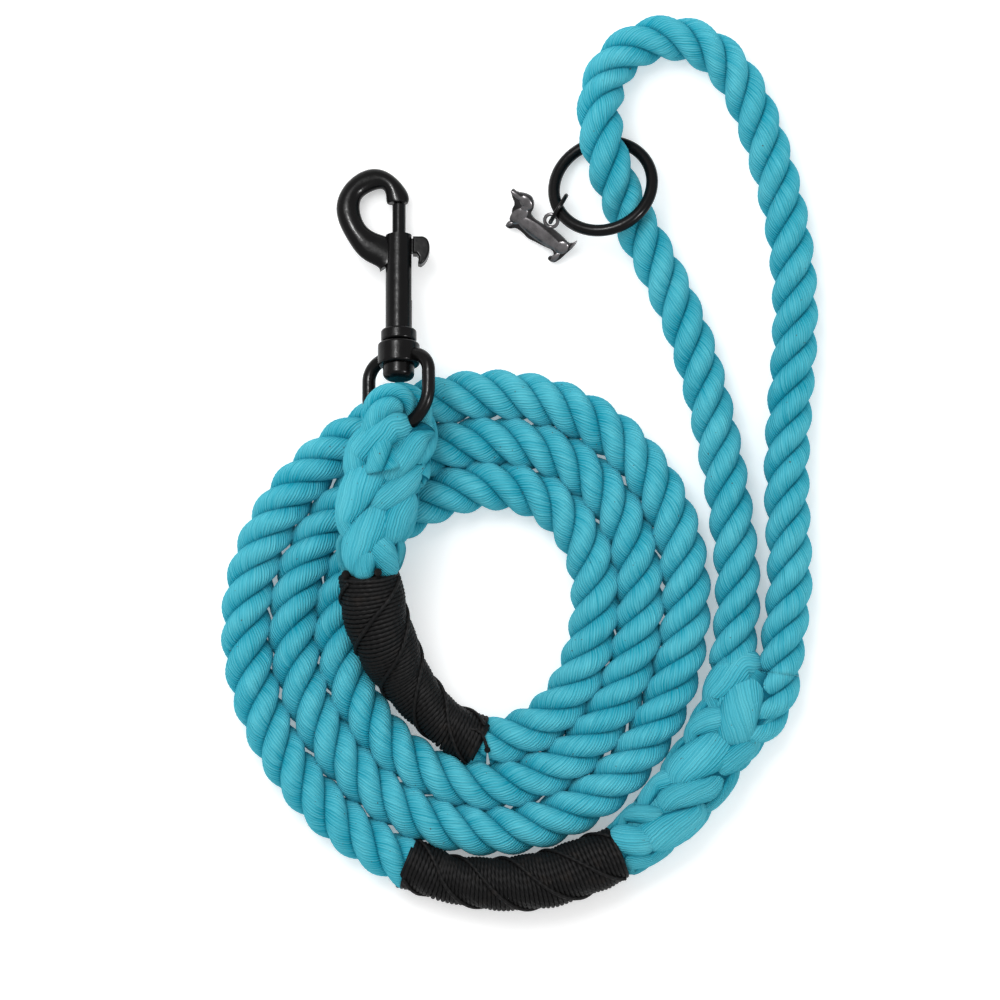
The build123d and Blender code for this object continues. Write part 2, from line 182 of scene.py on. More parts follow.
# --- Free rope: about three flat turns -------------------------------------------------------------
# One length of soft right-hand laid cotton rope, 14 mm thick, dyed turquoise, from the hook's
# whipping to the handle's whipping. The yarns lie almost along the rope. The strands' crowns and
# the yarn ridges are painted paler: painted light.
def cotton(name, yarns, yarn_turn, frayed=1.0, crevice_shade_start=0.10):
    """Cotton for a strand: its map runs round the strand (0 to 1) and along it, in metres. The grooves
    between the strands are painted dark: painted shade.
    """
    finish = Finish(name, Roughness=0.9, Specular_IOR_Level=0.08)
    lay = finish.node("ShaderNodeUVMap", 0, {"uv_map": "lay"})
    around = finish.node("ShaderNodeSeparateXYZ", 0, (), Vector=lay)
    along = finish.node("ShaderNodeSeparateXYZ", 1, (), Vector=lay)
    place = finish.node("ShaderNodeTexCoord", 3)
    wander = finish.noise(place, 260.0, 2.0) - 0.5
    yarn = around * yarns + along * (yarns * yarn_turn) + wander * 0.7
    ridge = finish.node("ShaderNodeMath", 0, {"operation": "SINE"}, s0=yarn * (2 * pi))
    drawn = finish.node("ShaderNodeCombineXYZ", 0, (), X=yarn * 1.4, Y=along * 90.0, Z=0.0)
    fibres = finish.noise(drawn, 1.0, 3.0, 0.6)
    crown = finish.node("ShaderNodeMath", 0, {"operation": "COSINE"},
                        s0=(around - 0.5) * (2 * pi))
    mottle = finish.noise(place, 60.0, 2.0)
    # Painted light: the crown and ridge terms make the strands paler on their crowns and yarn crests, and
    # the mix runs from the deep dye colour to a lit, pale turquoise. The mottle and fibre terms are the
    # cotton's own uneven tone.
    crown_light_and_tone = crown * 0.45 + 0.18 + (mottle - 0.5) * 0.7 + (fibres - 0.5) * 1.6 + ridge * 0.16
    colour = finish.mix(crown_light_and_tone.clamped(), (0.003, 0.30, 0.42, 1), (0.115, 0.55, 0.66, 1))
    # Painted shade: where the crown value drops below the threshold, the colour turns dark teal, which
    # gives a dark line in each groove between the strands.
    shade = ((crevice_shade_start - crown) * 4.0).clamped() * 0.8
    colour = finish.mix(shade, colour, (0.0, 0.11, 0.18, 1))
    specks = ((finish.noise(place, 900.0, 1.0, 0.3) - 0.78) * 40).clamped()
    colour = finish.mix(specks * 0.7, colour, (0.07, 0.05, 0.03, 1))
    finish.set(Base_Color=colour)
    finish.bump(ridge * 0.5 + fibres * 1.2, 1.0, 0.00022 * frayed)
    return finish


rope_cotton = cotton("turquoise_cotton", 32, 62.0)
rope_radius = 0.007
coil_lay = 0.0295
coil_spread = 1.10
coil_centre = Vector((-0.0153, -0.0446, rope_radius))
coil_start_angle = 277
coil_end_angle = 1337


def coil_point(angle):
    turns = (angle - coil_start_angle) / 360
    reach = 0.0339 + 0.0130 * turns + 0.00027 * turns**2
    for waves, size, phase in ((1, 0.00467, -39.5), (2, 0.00165, 150.6), (3, 0.00151, 147.7)):
        reach += size * cos(radians(waves * angle - phase))
    return coil_centre + reach * Vector((cos(radians(angle)), sin(radians(angle)), 0))


def route_points(name, corners):
    """The points of the smooth line that a route's corners give."""
    curve = bpy.data.curves.new(name, "CURVE")
    curve.dimensions = "3D"
    curve.resolution_u = 24
    spline = curve.splines.new("NURBS")
    spline.points.add(len(corners) - 1)
    for point, corner in zip(spline.points, corners):
        point.co = (*corner, 1)
    spline.order_u = 3
    spline.use_endpoint_u = True
    line = bpy.data.objects.new(name, curve)
    scene.collection.objects.link(line)
    bpy.context.view_layer.update()
    mesh = bpy.data.meshes.new_from_object(line)
    points = np.array([vertex.co for vertex in mesh.vertices])
    bpy.data.objects.remove(line)
    bpy.data.meshes.remove(mesh)
    return points


def evenly(points, step):
    """The same line with points a given step apart, and how far along each lies."""
    lengths = np.concatenate([[0], np.cumsum(np.linalg.norm(np.diff(points, axis=0), axis=1))])
    count = max(int(round(lengths[-1] / step)), 4)
    stations = np.linspace(0, lengths[-1], count + 1)
    line = np.stack([np.interp(stations, lengths, points[:, k]) for k in range(3)], axis=1)
    return line, stations


def unit(rows):
    return rows / np.linalg.norm(rows, axis=-1, keepdims=True)


def tube(name, rings, material, around_first, around_last, along):
    """A closed tube through rings of points, with a map round it and along it."""
    count, around = rings.shape[:2]
    i = np.arange(count - 1)[:, None]
    j = np.arange(around)[None, :]
    k = (j + 1) % around
    quads = np.stack([i * around + j, i * around + k, (i + 1) * around + k, (i + 1) * around + j], 2)
    faces = quads.reshape(-1, 4).tolist()
    faces.append(list(range(around))[::-1])
    faces.append(list(range((count - 1) * around, count * around)))
    mesh = bpy.data.meshes.new(name)
    mesh.from_pydata(rings.reshape(-1, 3).tolist(), [], faces)
    mesh.polygons.foreach_set("use_smooth", np.ones(len(mesh.polygons), bool))
    shape = (count - 1, around)
    first, last = (np.broadcast_to(row, shape) for row in (around_first, around_last))
    low, high = (np.broadcast_to(column[:, None], shape) for column in (along[:-1], along[1:]))
    corners = np.stack([first, low, last, low, last, high, first, high], axis=2)
    flat = np.zeros(2 * len(mesh.loops), np.float32)
    flat[:corners.size] = corners.reshape(-1)
    mesh.uv_layers.new(name="lay").data.foreach_set("uv", flat)
    mesh.materials.append(material)
    mesh.update()
    made = bpy.data.objects.new(name, mesh)
    scene.collection.objects.link(made)
    return made


def one_piece(name, parts):
    """Several meshes joined into one, with the first one's materials kept in order."""
    bpy.ops.object.select_all(action="DESELECT")
    for part in parts:
        part.select_set(True)
    bpy.context.view_layer.objects.active = parts[0]
    bpy.ops.object.join()
    parts[0].name = name
    parts[0].data.name = name
    bpy.ops.object.select_all(action="DESELECT")
    return parts[0]


def laid_rope(name, line, radius, lay, first_turn, material, step=0.0013, spread=1.0):
    """Three strands laid round a line: a lobed section that turns as it goes along."""
    line, stations = evenly(line, step)
    tangents = unit(np.gradient(line, axis=0))
    upward = np.array((0.0, 0.0, 1.0))
    sides = unit(upward - tangents * tangents[:, 2:])
    tops = np.cross(tangents, sides)
    per_lobe = 16
    lobe = np.radians(np.linspace(-60, 60, per_lobe + 1))
    offset = 0.40 * radius
    strand = radius - offset
    reach = offset * np.cos(lobe) + np.sqrt(strand**2 - (offset * np.sin(lobe))**2)
    own = np.arctan2(reach * np.sin(lobe), reach * np.cos(lobe) - offset) / (2 * pi) + 0.5
    reach[0] *= 0.90
    angles = np.concatenate([lobe[:-1] + 2 * pi / 3 * k for k in range(3)])
    reaches = np.tile(reach[:-1], 3)
    turn = first_turn + 2 * pi * stations / lay
    spin = turn[:, None] + angles[None, :]
    rings = line[:, None, :] + reaches[None, :, None] * (
        np.cos(spin)[:, :, None] * sides[:, None, :] + spread * np.sin(spin)[:, :, None] * tops[:, None, :])
    return tube(name, rings, material, np.tile(own[:-1], 3), np.tile(own[1:], 3), stations)


coil_corners = [coil_point(angle) for angle in range(coil_start_angle, coil_end_angle, 15)]
coil_corners.append(coil_point(coil_end_angle))
coil_line = route_points("coil_route", coil_corners)
lead_rope = laid_rope("lead_rope", coil_line, rope_radius, coil_lay, 0.0, rope_cotton.material,
                      spread=coil_spread)
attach(lead_rope, "lead")
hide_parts("rope_coil")

# --- Handle loop -------------------------------------------------------------------------------
# The same rope goes on from the handle's splice, down one side and back up the other. It rises
# over the ring's far side and lies on the floor again past it.
loop_lay = 0.0305
loop_corners = (
    (0.0630, -0.0610, 0.0070), (0.0648, -0.0480, 0.0070),
    (0.0652, -0.0335, 0.0070), (0.0630, -0.0146, 0.0070), (0.0598, 0.0041, 0.0070),
    (0.0559, 0.0206, 0.0070), (0.0514, 0.0365, 0.0070), (0.0444, 0.0530, 0.0070),
    (0.0374, 0.0662, 0.0070), (0.0304, 0.0788, 0.0074), (0.0254, 0.0914, 0.0119),
    (0.0233, 0.1022, 0.0119), (0.0241, 0.1128, 0.0079), (0.0285, 0.1212, 0.0070),
    (0.0360, 0.1266, 0.0070), (0.0454, 0.1283, 0.0070), (0.0549, 0.1256, 0.0070),
    (0.0630, 0.1187, 0.0070), (0.0690, 0.1082, 0.0070), (0.0738, 0.0950, 0.0070),
    (0.0780, 0.0806, 0.0070), (0.0810, 0.0656, 0.0070), (0.0824, 0.0491, 0.0070),
    (0.0820, 0.0335, 0.0070), (0.0806, 0.0176, 0.0070), (0.0795, -0.0005, 0.0070),
    (0.0800, -0.0185, 0.0070), (0.0809, -0.0350, 0.0070), (0.0794, -0.0481, 0.0070),
    (0.0774, -0.0630, 0.0070),
)
loop_line = route_points("loop_route", loop_corners)
handle_rope = laid_rope("handle_rope", loop_line, rope_radius, loop_lay, 0.0,
                        rope_cotton.material)
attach(handle_rope, "lead")
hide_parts("handle_loop")


# --- Hook splice ----------------------------------------------------------------------------------
# The rope's end is opened and its strands are tucked back into the rope behind the eye, over one
# and under one. They are fat and loose, and bulge past the rope's own width.
class Body:
    """The rope's swollen outer shape along a run: centre, half width, half height and roll."""

    def __init__(self, stations):
        rows = np.array(stations, float)
        points = route_points("body_line", rows[:, :3])
        self.line, self.along = evenly(points, 0.0008)
        steps = np.concatenate([[0], np.cumsum(np.linalg.norm(np.diff(rows[:, :3], axis=0), axis=1))])
        steps *= self.along[-1] / steps[-1]
        self.wide, self.high, self.roll = (np.interp(self.along, steps, rows[:, k]) for k in (3, 4, 5))
        self.tangents = unit(np.gradient(self.line, axis=0))
        level = np.cross(self.tangents, (0, 0, 1))
        self.sides = unit(level)
        self.tops = np.cross(self.sides, self.tangents)

    def upper(self, x, y, inset):
        """The point of the upper skin over a place in plan, inset by a depth, and its outward way."""
        i = int(np.argmin((self.line[:, 0] - x)**2 + (self.line[:, 1] - y)**2))
        wide, high = self.wide[i] - inset, self.high[i] - inset
        roll = radians(self.roll[i])
        reach = sqrt((wide * cos(roll))**2 + (high * sin(roll))**2)
        away = (x - self.line[i, 0]) * self.sides[i, 0] + (y - self.line[i, 1]) * self.sides[i, 1]
        away = max(-0.985 * reach, min(0.985 * reach, away))
        tilt = (wide**2 - high**2) * sin(roll) * cos(roll)
        rise = (wide * high * sqrt(reach**2 - away**2) - tilt * away) / reach**2
        point = self.line[i] + self.sides[i] * away + np.array((0, 0, 1)) * rise
        way = self.sides[i] * away / reach**2 + self.tops[i] * rise / max(high, 1e-4)**2
        return point, unit(way), i


tuck_length = 0.0028


def tucked_strand(name, body, route, width, material, under=False):
    """One strand over the body, from where it comes out to where it goes under again."""
    wide = 1.10 * width / 1000
    thick = min(0.0036, 0.38 * wide)
    corners = [Vector((x, y, 0)) / 1000 for x, y in route]
    corners.insert(0, corners[0] + (corners[0] - corners[1]).normalized() * tuck_length)
    corners.append(corners[-1] + (corners[-1] - corners[-2]).normalized() * tuck_length)
    plan = route_points(name + "_line", corners)
    plan, stations = evenly(plan, 0.0009)
    share = 2 * stations / stations[-1] - 1
    swell = np.sqrt(np.maximum(1 - np.abs(share)**6, 0.02))
    dive = 0.0056 * np.abs(share)**3
    found = [body.upper(x, y, thick) for x, y, z in plan]
    points = np.array([point for point, way, i in found])
    ways = np.array([way for point, way, i in found])
    smooth = np.array([0.25, 0.5, 0.25])
    for turn in range(3):
        for rows in (points, ways):
            rows[1:-1] = smooth[0] * rows[:-2] + smooth[1] * rows[1:-1] + smooth[2] * rows[2:]
    ways = unit(ways)
    points = points - ways * dive[:, None]
    if under:
        centres = np.array([body.line[i] for point, way, i in found])
        points = 2 * centres - points
        ways = -ways
    tangents = unit(np.gradient(points, axis=0))
    ways = unit(ways - tangents * (ways * tangents).sum(1, keepdims=True))
    sides = np.cross(ways, tangents)
    around = 22
    angle = 2 * pi * np.arange(around) / around
    rings = (points[:, None, :]
             - ways[:, None, :] * (np.cos(angle)[None, :] * (thick * swell)[:, None])[:, :, None]
             + sides[:, None, :] * (np.sin(angle)[None, :] * (wide / 2 * swell)[:, None])[:, :, None])
    turn = np.arange(around + 1) / around
    return tube(name, rings, material, turn[:-1], turn[1:], stations * 0.30)


def body_core(name, body, inset, material):
    """The rope inside the tucked strands, which closes the gaps between them."""
    around = 24
    angle = 2 * pi * np.arange(around) / around
    roll = np.radians(body.roll)[:, None]
    across = (body.wide - inset)[:, None] * np.cos(angle)[None, :]
    upward = (body.high - inset)[:, None] * np.sin(angle)[None, :]
    side_part = across * np.cos(roll) + upward * np.sin(roll)
    top_part = upward * np.cos(roll) - across * np.sin(roll)
    rings = (body.line[:, None, :] + side_part[:, :, None] * body.sides[:, None, :]
             + top_part[:, :, None] * body.tops[:, None, :])
    rings = rings[:, ::-1]
    turn = np.arange(around + 1) / around
    return tube(name, rings, material, turn[:-1], turn[1:], body.along)


# The tucked strands get painted shade further up their sides, where they press on each other.
splice_cotton = cotton("tucked_cotton", 34, 60.0, 1.3, 0.22)
hook_splice_body = Body((
    (-0.0453, -0.0326, 0.0237, 0.0094, 0.0094, 0), (-0.0449, -0.0230, 0.0244, 0.0112, 0.0100, 0),
    (-0.0429, -0.0118, 0.0249, 0.0130, 0.0102, 10), (-0.0408, -0.0010, 0.0250, 0.0133, 0.0100, 26),
    (-0.0367, 0.0075, 0.0260, 0.0142, 0.0084, 42), (-0.0366, 0.0108, 0.0254, 0.0142, 0.0075, 42)))
hook_strands = (
    (((-53, -5.5), (-52, -1), (-49, 4), (-43.5, 8), (-38, 12), (-33.5, 14)), 9.5),
    (((-41, -4), (-38, -0.5), (-34, 3), (-30.5, 7.5), (-28, 12)), 8.5),
    (((-54, -22), (-53, -16.5), (-50.5, -11), (-47.5, -5.5), (-44, -1)), 11),
    (((-44, -12), (-40, -10), (-35.5, -7), (-32, -3.5), (-30, 0)), 8),
    (((-39.5, -22.5), (-38, -18), (-35, -14), (-32, -10.5)), 10),
    (((-51.5, -31.5), (-50, -26.5), (-47, -21.5), (-43.5, -17), (-41, -14)), 10),
    (((-53.5, -32), (-55, -28), (-55, -24), (-54, -21)), 3.5),
    (((-47, -35.5), (-47, -32), (-46.5, -29), (-45.5, -26)), 6),
    (((-38.5, -34), (-40, -30), (-41.5, -26), (-43, -22.5)), 8),
    (((-37.5, -31), (-36.5, -27), (-35.5, -23)), 3.5),
)
hook_pieces = [body_core("hook_splice_core", hook_splice_body, 0.0026, splice_cotton.material)]
for number, (route, width) in enumerate(hook_strands):
    for under in (False, True):
        hook_pieces.append(tucked_strand(f"hook_strand_{number}", hook_splice_body, route, width,
                                         splice_cotton.material, under))
first_way = unit(coil_line[1] - coil_line[0])
lead_in = route_points("lead_in", (
    (-0.0165, -0.0815, 0.0077), coil_line[0] - 0.0025 * first_way, coil_line[0]))
lead_in_radius = 0.90 * rope_radius  # slim enough to stay inside the whipping
hook_pieces.append(laid_rope("lead_in", lead_in, lead_in_radius, coil_lay,
                             -2 * pi * evenly(lead_in, 0.001)[1][-1] / coil_lay,
                             rope_cotton.material, spread=coil_spread))
hook_splice = one_piece("hook_splice_strands", hook_pieces)
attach(hook_splice, "lead")
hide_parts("hook_splice")

# --- Rope eye ---------------------------------------------------------------------------------
# The rope goes up one leg, round the swivel's bar and back down the other leg into the splice.
eye_point = Vector((-0.0366, 0.0108, 0.0254))
eye_heading = Vector((0.0344, 0.9842, -0.1736))
eye_leg_way = Vector((-0.7395, 0.1401, 0.6584)).normalized()
eye_half_gap = 0.0085
eye_corners = [eye_point - 0.014 * eye_heading + 0.0055 * eye_leg_way,
               eye_point - 0.006 * eye_heading + 0.0080 * eye_leg_way]
for step in range(0, 181, 20):
    eye_corners.append(eye_point + eye_half_gap * (cos(radians(step)) * eye_leg_way
                                                   + sin(radians(step)) * eye_heading))
eye_corners += [eye_point - 0.006 * eye_heading - 0.0080 * eye_leg_way,
                eye_point - 0.014 * eye_heading - 0.0055 * eye_leg_way]
eye_rope = laid_rope("hook_eye_rope", route_points("eye_route", eye_corners), 0.0057, 0.034, 1.0,
                     rope_cotton.material, 0.0009)
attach(eye_rope, "lead")
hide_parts("hook_eye")


# --- Hook whipping --------------------------------------------------------------------------------
# Black waxed twine, 1.2 mm thick, wound in close turns over the rope and the ends of the tucked
# strands. Three riding turns lie over it, in the grooves of the rope beneath.
twine_radius = 0.0006
pressed_radius = 0.00072
groove_lay = 0.045
waxed_twine = Finish("black_twine", Roughness=0.55, Specular_IOR_Level=0.12)
twine_map = waxed_twine.node("ShaderNodeUVMap", 0, {"uv_map": "lay"})
twine_around = waxed_twine.node("ShaderNodeSeparateXYZ", 0, (), Vector=twine_map)
twine_along = waxed_twine.node("ShaderNodeSeparateXYZ", 1, (), Vector=twine_map)
twist = waxed_twine.node("ShaderNodeMath", 0, {"operation": "SINE"},
                         s0=(twine_around * 3 + twine_along * 500.0) * (2 * pi))
twine_place = waxed_twine.node("ShaderNodeTexCoord", 3)
wax = waxed_twine.noise(twine_place, 700.0, 3.0)
brown = ((waxed_twine.noise(twine_place, 260.0, 2.0) - 0.58) * 6).clamped()
waxed_twine.set(
    Base_Color=waxed_twine.mix(brown * 0.6, (0.0040, 0.0039, 0.0041, 1), (0.016, 0.012, 0.010, 1)),
    Roughness=0.42 + wax * 0.35)
waxed_twine.bump(twist * 0.5 + wax, 0.8, 0.00012)


def twine(name, points, ways, radius, material, around=8):
    """A round thread along points, each with its way out from the rope."""
    tangents = unit(np.gradient(points, axis=0))
    ways = unit(ways - tangents * (ways * tangents).sum(1, keepdims=True))
    sides = np.cross(ways, tangents)
    angle = 2 * pi * np.arange(around) / around
    rings = (points[:, None, :] - ways[:, None, :] * (radius * np.cos(angle))[None, :, None]
             + sides[:, None, :] * (radius * np.sin(angle))[None, :, None])
    stations = np.concatenate([[0], np.cumsum(np.linalg.norm(np.diff(points, axis=0), axis=1))])
    turn = np.arange(around + 1) / around
    return tube(name, rings, material, turn[:-1], turn[1:], stations)


def wound(body, stations, angles, lift):
    """Points on the body at distances along it and angles round it, and their ways out."""
    at = [np.interp(stations, body.along, column) for column in
          (*body.line.T, *body.sides.T, *body.tops.T, body.wide, body.high)]
    line, sides, tops = (np.stack(at[k:k + 3], axis=1) for k in (0, 3, 6))
    groove = 0.5 - 0.5 * np.cos(3 * (angles + 2 * pi * stations / groove_lay))
    wide = at[9] - 0.0007 * groove + lift
    high = at[10] - 0.0007 * groove + lift
    out = sides * np.cos(angles)[:, None] + tops * np.sin(angles)[:, None]
    points = line + sides * (wide * np.cos(angles))[:, None] + tops * (high * np.sin(angles))[:, None]
    return points, out


def whipping(name, body, material):
    length = body.along[-1]
    turns = int(length / (2 * twine_radius))
    around = np.linspace(0, 2 * pi * turns, 34 * turns)
    spread = np.linspace(twine_radius, length - twine_radius, len(around))
    points, ways = wound(body, spread, -around, -twine_radius)
    made = [twine(name, points, ways, pressed_radius, material)]
    for start in (pi / 3, pi, 5 * pi / 3):
        spread = np.linspace(0.0015, length - 0.0015, 160)
        points, ways = wound(body, spread, start - 2 * pi * spread / groove_lay, 0.0003)
        made.append(twine(name, points, ways, twine_radius, material))
    made.append(body_core(name, body, 0.0015, material))
    return made


hook_whipping_body = Body((
    (-0.0120, -0.0837, 0.0075, 0.0081, 0.0078, 0), (-0.0174, -0.0811, 0.0078, 0.0079, 0.0078, 0),
    (-0.0244, -0.0772, 0.0081, 0.0070, 0.0070, 0), (-0.0352, -0.0646, 0.0106, 0.0082, 0.0082, 0),
    (-0.0389, -0.0573, 0.0144, 0.0094, 0.0094, 0), (-0.0422, -0.0502, 0.0186, 0.0098, 0.0098, 0),
    (-0.0447, -0.0410, 0.0219, 0.0100, 0.0100, 0), (-0.0453, -0.0326, 0.0237, 0.0094, 0.0094, 0)))
hook_windings = whipping("hook_twine", hook_whipping_body, waxed_twine.material)
tail = route_points("tail_route", (
    (-0.0190, -0.0800, 0.0140), (-0.0145, -0.0792, 0.0150), (-0.0118, -0.0806, 0.0152),
    (-0.0108, -0.0832, 0.0149), (-0.0101, -0.0854, 0.0146)))
hook_windings.append(twine("thread_tail", tail, np.tile((0.0, 0.0, 1.0), (len(tail), 1)), 0.0005,
                           waxed_twine.material))
for knot_place, knot_size in (((-0.0101, -0.0858, 0.0146), 0.00095), ((-0.0523, -0.0333, 0.0275), 0.0014),
                              ((-0.0427, -0.0325, 0.0328), 0.0012)):
    bpy.ops.mesh.primitive_uv_sphere_add(segments=20, ring_count=12, radius=knot_size,
                                         location=knot_place)
    bpy.ops.object.transform_apply(location=True)
    bpy.ops.object.shade_smooth()
    knot = bpy.context.object
    knot.data.uv_layers[0].name = "lay"
    knot.data.materials.append(waxed_twine.material)
    hook_windings.append(knot)
hook_whip = one_piece("hook_whipping_twine", hook_windings)
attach(hook_whip, "lead")
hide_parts("hook_whipping", "hook_core")

# --- Handle whipping ------------------------------------------------------------------------------
# The same black twine over the handle's end, where the spliced strands taper out.
handle_whipping_body = Body((
    (-0.0347, -0.1194, 0.0075, 0.0082, 0.0077, 0), (-0.0284, -0.1219, 0.0076, 0.0079, 0.0077, 0),
    (-0.0224, -0.1247, 0.0072, 0.0073, 0.0072, 0), (-0.0063, -0.1265, 0.0082, 0.0082, 0.0082, 0),
    (0.0087, -0.1249, 0.0089, 0.0089, 0.0089, 0), (0.0230, -0.1193, 0.0089, 0.0089, 0.0089, 0),
    (0.0297, -0.1167, 0.0084, 0.0084, 0.0084, 0)))
handle_whip = one_piece("handle_whipping_twine",
                        whipping("handle_twine", handle_whipping_body, waxed_twine.material))
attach(handle_whip, "lead")
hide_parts("handle_whipping", "handle_core")

# --- Handle splice --------------------------------------------------------------------------------
# The long splice that closes the handle: fat strands tucked over and under down to the whipping.
handle_splice_body = Body((
    (0.0297, -0.1167, 0.0084, 0.0084, 0.0084, 0), (0.0419, -0.1076, 0.0094, 0.0104, 0.0094, 0),
    (0.0535, -0.0933, 0.0099, 0.0112, 0.0099, 0), (0.0632, -0.0774, 0.0092, 0.0116, 0.0092, 0),
    (0.0702, -0.0620, 0.0074, 0.0147, 0.0072, 0)))
handle_strands = (
    (((55, -72), (57.5, -68), (62, -64), (67, -60.5), (71, -57.5)), 10),
    (((64, -84), (64.5, -79), (65.5, -73.5), (67, -69), (68.5, -65)), 11),
    (((50.5, -83), (52.5, -79), (56.5, -77), (60.5, -76.5)), 8),
    (((44.5, -94.5), (47.5, -91.5), (53, -88.5), (58, -86), (61.5, -84)), 11),
    (((58.5, -91.5), (62.5, -89), (67, -86), (71, -83), (73.5, -79)), 8),
    (((41.5, -102), (45.5, -100), (50.5, -98.5), (56, -97.5), (60.5, -95.5)), 7.5),
    (((36.5, -102), (38.5, -99), (41.5, -96), (44.5, -94)), 8),
    (((28.5, -107), (32, -105), (36.5, -105), (41.5, -105.5)), 5.5),
    (((27.5, -111), (31, -112.5), (34.5, -113), (38, -113.5)), 8.5),
    (((37.5, -113.5), (41.5, -111), (46.5, -109), (51.5, -106.5), (55.5, -103)), 11),
    (((31.5, -120), (37, -118.5), (43, -117.5), (49, -115)), 6.5),
    (((31.5, -123), (35.5, -122), (40.5, -120.5)), 4),
    (((55.5, -104.5), (59.5, -100.5), (63.5, -97), (67, -92)), 6),
)
handle_pieces = [body_core("handle_splice_core", handle_splice_body, 0.0024,
                           splice_cotton.material)]
sunk_first = route_points("sunk_first", (
    (0.0606, -0.0790, 0.0085), (0.0616, -0.0720, 0.0080), (0.0625, -0.0660, 0.0072), loop_line[0],
    loop_line[1]))
sunk_length = evenly(sunk_first, 0.001)[1][-1]
handle_pieces.append(laid_rope("sunk_first", sunk_first, rope_radius, loop_lay,
                               -2 * pi * sunk_length / loop_lay, rope_cotton.material))
sunk_last = route_points("sunk_last", (
    loop_line[-1], (0.0767, -0.0680, 0.0070), (0.0750, -0.0728, 0.0072), (0.0715, -0.0778, 0.0077),
    (0.0665, -0.0822, 0.0082), (0.0620, -0.0860, 0.0086)))
handle_pieces.append(laid_rope("sunk_last", sunk_last, rope_radius, loop_lay,
                               2 * pi * evenly(loop_line, 0.001)[1][-1] / loop_lay,
                               rope_cotton.material))
for number, (route, width) in enumerate(handle_strands):
    for under in (False, True):
        handle_pieces.append(tucked_strand(f"handle_strand_{number}", handle_splice_body, route,
                                           width, splice_cotton.material, under))
handle_splice = one_piece("handle_splice_strands", handle_pieces)
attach(handle_splice, "lead")
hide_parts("handle_splice")

# --- Bolt snap and swivel -------------------------------------------------------------------------
# Cast metal, painted gloss black: the eye turns on the rivet, the bolt slides in the barrel. The
# paint is a little uneven, like orange peel.
black_paint = Finish("gloss_black_paint", Base_Color=(0.0035, 0.0034, 0.0036, 1), Roughness=0.16,
                     Specular_IOR_Level=0.12)
paint_place = black_paint.node("ShaderNodeTexCoord", 3)
peel = black_paint.noise(paint_place, 520.0, 2.0)
dust = black_paint.noise(paint_place, 2600.0, 1.0)
black_paint.set(Roughness=0.12 + black_paint.noise(paint_place, 190.0, 3.0) * 0.22)
black_paint.bump(peel + dust * 0.12, 0.35, 0.00018)
for name in ("swivel_eye", "swivel_rivet", "snap_body", "snap_bolt", "thumb_trigger",
             "accessory_ring", "jump_ring"):
    nodes[name].data.materials.clear()
    nodes[name].data.materials.append(black_paint.material)

# --- Bolt spring ----------------------------------------------------------------------------------
# Drawn steel wire, wound and left bright, inside the barrel.
spring_wire = Finish("drawn_wire", Base_Color=(0.52, 0.52, 0.54, 1), Metallic=1.0, Roughness=0.28)
wire_place = spring_wire.node("ShaderNodeTexCoord", 3)
spring_wire.set(Roughness=0.22 + spring_wire.noise(wire_place, 900.0, 2.0) * 0.2)
nodes["bolt_spring"].data.materials.clear()
nodes["bolt_spring"].data.materials.append(spring_wire.material)

# --- Charm ----------------------------------------------------------------------------------------
# A small cast sausage dog in dark antique gunmetal: a flat plate with a raised body and an ear
# flap, polished where they stand proud and darker in the rim, hung by a tab with a hole.
def antique(name, dark, light, roughness):
    finish = Finish(name, Metallic=1.0)
    place = finish.node("ShaderNodeTexCoord", 3)
    tarnish = finish.noise(place, 420.0, 3.0)
    finish.set(Base_Color=finish.mix(tarnish, dark, light), Roughness=roughness + tarnish * 0.2)
    finish.bump(tarnish, 0.5, 0.00012)
    return finish.material


polished = antique("polished_gunmetal", (0.05, 0.048, 0.05, 1), (0.22, 0.21, 0.215, 1), 0.18)
tarnished = antique("tarnished_gunmetal", (0.012, 0.012, 0.012, 1), (0.05, 0.048, 0.05, 1), 0.3)
charm_outline = (
    (-15.3, 1.5), (-13.2, 1.4), (-11.1, 2.5), (-9.0, 2.8), (-7.3, 1.6), (-6.4, -0.2), (-6.4, -1.9),
    (-4.5, -2.7), (-1.5, -2.6), (2.0, -2.0), (5.3, -2.4), (8.1, -3.1), (9.1, -2.2), (9.9, -0.6),
    (10.0, -2.9), (9.3, -5.7), (8.7, -8.5), (7.9, -10.4), (6.9, -10.9), (5.5, -10.8), (5.3, -10.0),
    (6.2, -9.4), (6.2, -8.3), (5.2, -7.5), (2.0, -8.1), (-0.5, -8.4), (-2.9, -8.8), (-5.2, -8.2),
    (-7.6, -8.1), (-9.0, -9.5), (-10.4, -9.7), (-10.8, -8.5), (-10.0, -7.3), (-10.7, -5.4),
    (-11.7, -4.1), (-11.9, -1.8), (-14.0, -0.4))
outline = np.array(charm_outline) / 1000
ahead = np.roll(outline, -1, axis=0)
outline = np.stack([0.8 * outline + 0.2 * ahead, 0.2 * outline + 0.8 * ahead], 1).reshape(-1, 2)
charm_half = 0.0009
bpy.ops.mesh.primitive_circle_add(vertices=len(outline), fill_type="NGON", radius=0.01)
dog = bpy.context.object
for vertex, (x, y) in zip(dog.data.vertices, outline):
    vertex.co = (x, y, -charm_half)
dog.data.materials.append(tarnished)
bpy.ops.object.mode_set(mode="EDIT")
bpy.ops.mesh.select_all(action="SELECT")
bpy.ops.mesh.extrude_region_move(TRANSFORM_OT_translate={"value": (0, 0, 1.6 * charm_half)})
bpy.ops.mesh.select_all(action="SELECT")
bpy.ops.mesh.normals_make_consistent(inside=False)
bpy.ops.object.mode_set(mode="OBJECT")
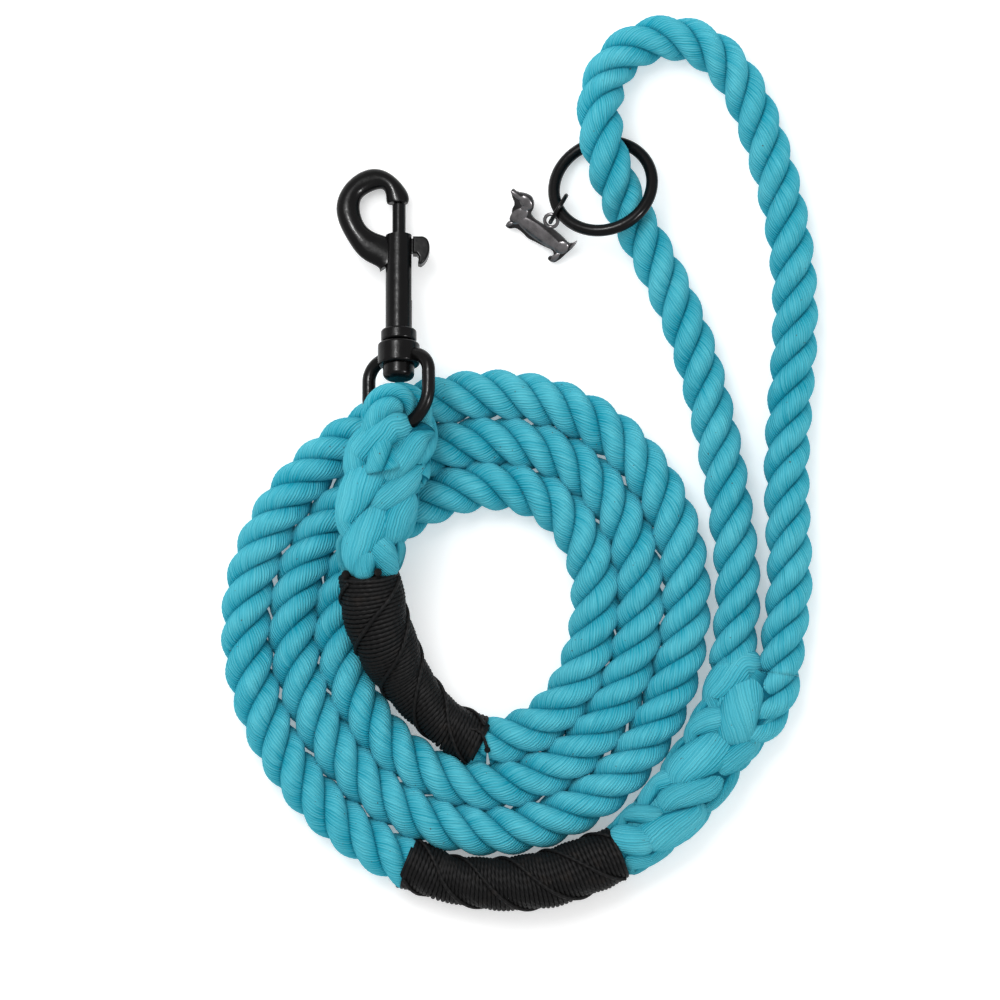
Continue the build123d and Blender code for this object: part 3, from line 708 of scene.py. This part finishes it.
edge_round = dog.modifiers.new("edge_round", "BEVEL")
edge_round.width = 0.00012
edge_round.segments = 2
bpy.ops.object.modifier_apply(modifier="edge_round")
bpy.ops.object.shade_smooth_by_angle(angle=radians(40))

# the raised parts: place on the plate, half length, half width and turn in degrees, in millimetres
raised_parts = (
    (-1.2, -5.4, 8.6, 2.35, -3),  # torso
    (-8.9, -4.4, 3.4, 2.1, 75),  # chest
    (-9.3, 0.4, 2.5, 1.7, -20),  # head
    (-12.5, 0.6, 2.6, 0.75, -4),  # snout
    (-8.5, -0.9, 2.1, 1.1, 62),  # ear flap
    (7.0, -5.2, 2.4, 2.0, 60),  # haunch
    (7.1, -8.9, 2.0, 0.85, 80),  # hind leg
    (-9.8, -8.2, 1.5, 0.6, 60),  # front paw
    (9.5, -2.5, 1.8, 0.42, 82),  # tail
)
dog_parts = [dog]
for x, y, half_length, half_width, turn in raised_parts:
    bpy.ops.mesh.primitive_uv_sphere_add(segments=32, ring_count=16, radius=0.001)
    part = bpy.context.object
    part.scale = (half_length, half_width, 0.45 + 0.12 * half_width)
    part.rotation_euler = (0, 0, radians(turn))
    part.location = (x / 1000, y / 1000, 0.45 * charm_half)
    bpy.ops.object.transform_apply(location=True, rotation=True, scale=True)
    bpy.ops.object.shade_smooth()
    part.data.materials.append(polished)
    dog_parts.append(part)
bpy.ops.mesh.primitive_torus_add(major_radius=0.0020, minor_radius=0.00055, major_segments=40,
                                 minor_segments=16, location=(0, 0, 0))
tab = bpy.context.object
bpy.ops.object.shade_smooth()
tab.data.materials.append(polished)
dog = one_piece("charm_dog", dog_parts + [tab])
across_dog = Vector((cos(radians(-34)), sin(radians(-34)), 0))
up_dog = Vector((0.559 * cos(radians(22)), 0.829 * cos(radians(22)), sin(radians(22))))
facing = across_dog.cross(up_dog)
for vertex in dog.data.vertices:
    x, y, z = vertex.co
    vertex.co = Vector((0.0091, 0.0729, 0.0055)) + x * across_dog + y * up_dog + z * facing
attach(dog, "charm")
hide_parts("charm")
